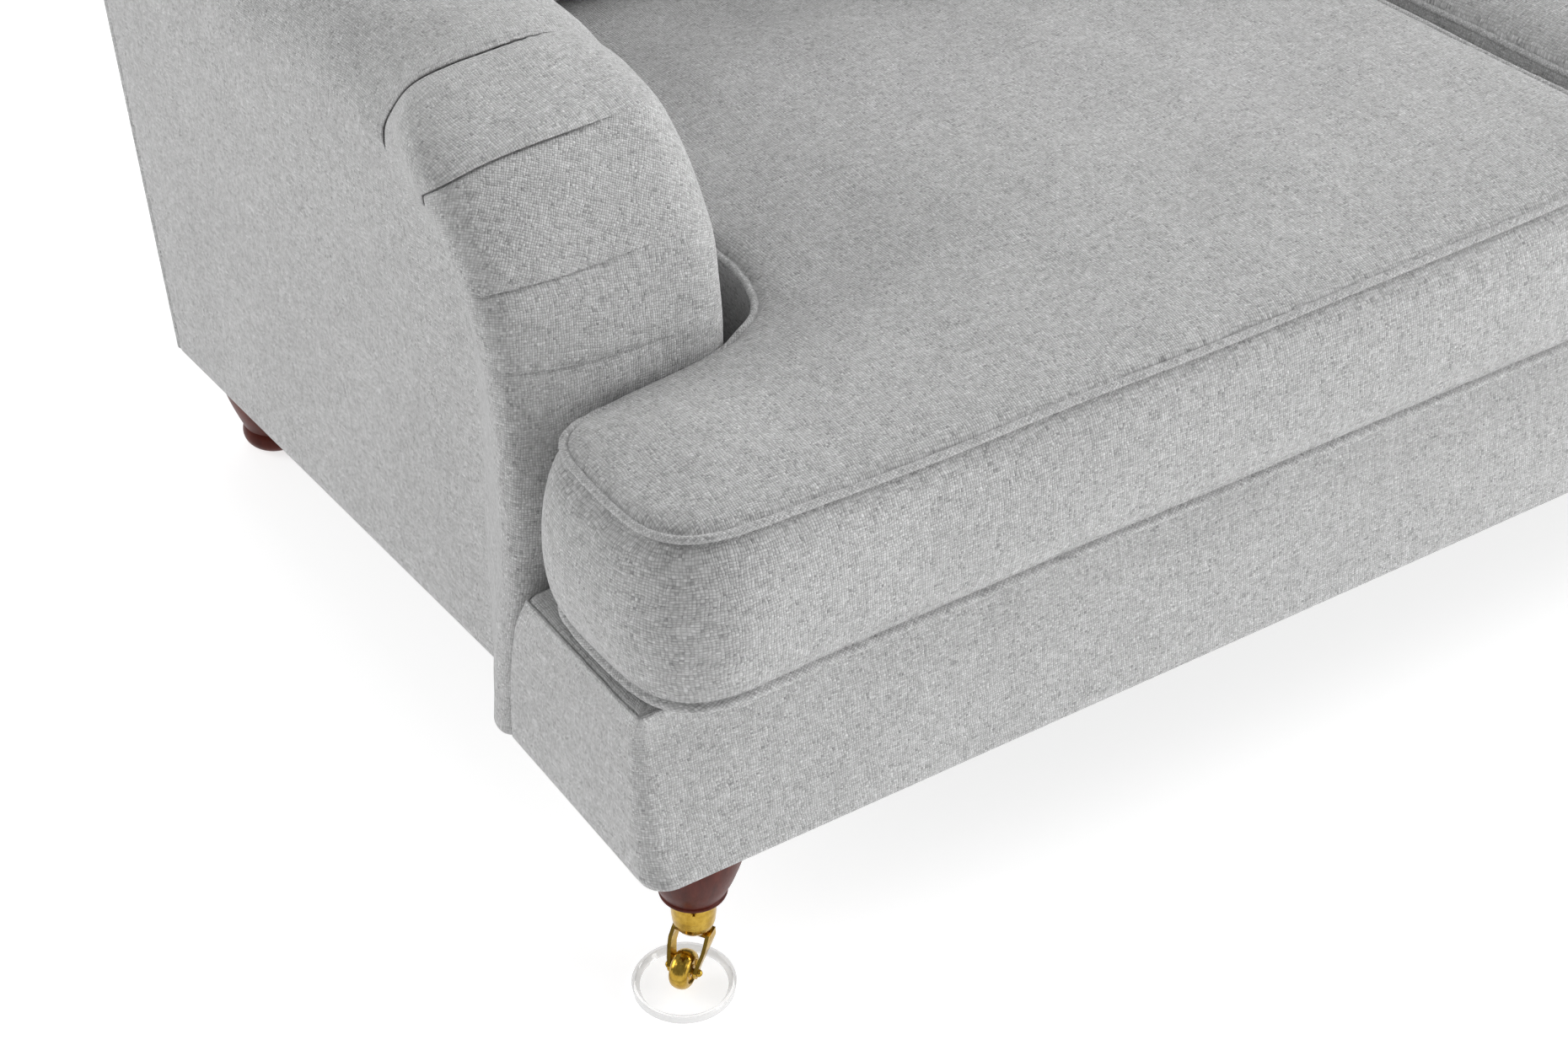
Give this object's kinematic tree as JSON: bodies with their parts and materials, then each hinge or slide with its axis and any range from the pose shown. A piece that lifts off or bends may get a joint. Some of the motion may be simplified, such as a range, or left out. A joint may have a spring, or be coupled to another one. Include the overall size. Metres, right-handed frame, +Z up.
{
  "type": "sofa",
  "caption": "Two-seat sofa with pleated roll arms, seat cushions that wrap in front of the arms, turned wooden legs, and front legs on brass castors in clear cups.",
  "frame": {"origin": "on the floor under the middle of the sofa's bounding box", "axes": "+X along the width to the sitter's left seen from the front as right, +Y from the seat front to the back, +Z up"},
  "size_m": [1.824, 1.0727, 0.864],
  "materials": {
    "upholstery": "heathered grey woven cloth, matte",
    "frame_wood": "sawn hardwood, unfinished",
    "steel": "oiled spring steel and zinc",
    "leg_wood": "satin red-brown lacquer",
    "brass": "polished",
    "webbing": "elastic webbing",
    "deck_cloth": "plain platform cloth over foam",
    "dust_cloth": "black non-woven cloth",
    "nylon": "matte",
    "clear_plastic": "clear, polished"
  },
  "bodies": {
    "sofa_frame": {"front_rail": "frame_wood", "back_rail": "frame_wood", "side_rail_left": "frame_wood", "side_rail_right": "frame_wood", "centre_bearer": "frame_wood", "corner_blocks": "frame_wood", "arm_front_post_left": "frame_wood", "arm_front_post_right": "frame_wood", "arm_top_rail_left": "frame_wood", "arm_top_rail_right": "frame_wood", "arm_tacking_slat_left": "frame_wood", "arm_tacking_slat_right": "frame_wood", "back_post_left": "frame_wood", "back_post_right": "frame_wood", "top_back_rail": "frame_wood", "back_centre_stay": "frame_wood", "seat_springs": "steel", "spring_clips": "steel", "leg_bolts": "steel", "threaded_inserts": "steel", "front_leg_left": "leg_wood", "front_leg_right": "leg_wood", "rear_leg_left": "leg_wood", "rear_leg_right": "leg_wood", "castor_ferrule_left": "brass", "castor_ferrule_right": "brass", "ferrule_screws": "brass", "back_webbing": "webbing", "seat_deck": "deck_cloth", "dust_cover": "dust_cloth", "rear_glides": "nylon", "arm_upholstery_left": "upholstery", "arm_upholstery_right": "upholstery", "back_upholstery": "upholstery", "outside_back_panel": "upholstery", "front_border": "upholstery"},
    "castor_left": {"castor_spindle_left": "brass", "castor_fork_left": "brass", "castor_axle_left": "brass", "castor_dish_left": "clear_plastic"},
    "castor_wheel_left": {"castor_wheel_left": "brass"},
    "seat_cushion_left": {"seat_cushion_left": "upholstery"},
    "back_cushion_left": {"back_cushion_left": "upholstery"},
    "castor_right": {"castor_spindle_right": "brass", "castor_fork_right": "brass", "castor_axle_right": "brass", "castor_dish_right": "clear_plastic"},
    "castor_wheel_right": {"castor_wheel_right": "brass"},
    "seat_cushion_right": {"seat_cushion_right": "upholstery"},
    "back_cushion_right": {"back_cushion_right": "upholstery"}
  },
  "joints": [
    {"name": "castor_swivel_left", "type": "hinge", "parent": "sofa_frame", "child": "castor_left", "pos_m": [-0.835, -0.44358, 0.042], "axis": [0, 0, 1], "continuous": true},
    {"name": "castor_roll_left", "type": "hinge", "parent": "castor_left", "child": "castor_wheel_left", "pos_m": [-0.85107, -0.45463, 0.0188], "axis": [0.5664, -0.8241, 0], "continuous": true},
    {"name": "seat_cushion_lift_out_left", "type": "slide", "parent": "sofa_frame", "child": "seat_cushion_left", "axis": [0, -0.9954, 0.0958], "range_m": [0, 0.4]},
    {"name": "back_cushion_lift_out_left", "type": "slide", "parent": "sofa_frame", "child": "back_cushion_left", "axis": [0, 0.1973, 0.9803], "range_m": [0, 0.35]},
    {"name": "castor_swivel_right", "type": "hinge", "parent": "sofa_frame", "child": "castor_right", "pos_m": [0.835, -0.44358, 0.042], "axis": [0, 0, 1], "continuous": true},
    {"name": "castor_roll_right", "type": "hinge", "parent": "castor_right", "child": "castor_wheel_right", "pos_m": [0.85107, -0.45463, 0.0188], "axis": [0.5664, 0.8241, 0], "continuous": true},
    {"name": "seat_cushion_lift_out_right", "type": "slide", "parent": "sofa_frame", "child": "seat_cushion_right", "axis": [0, -0.9954, 0.0958], "range_m": [0, 0.4]},
    {"name": "back_cushion_lift_out_right", "type": "slide", "parent": "sofa_frame", "child": "back_cushion_right", "axis": [0, 0.1973, 0.9803], "range_m": [0, 0.35]}
  ]
}
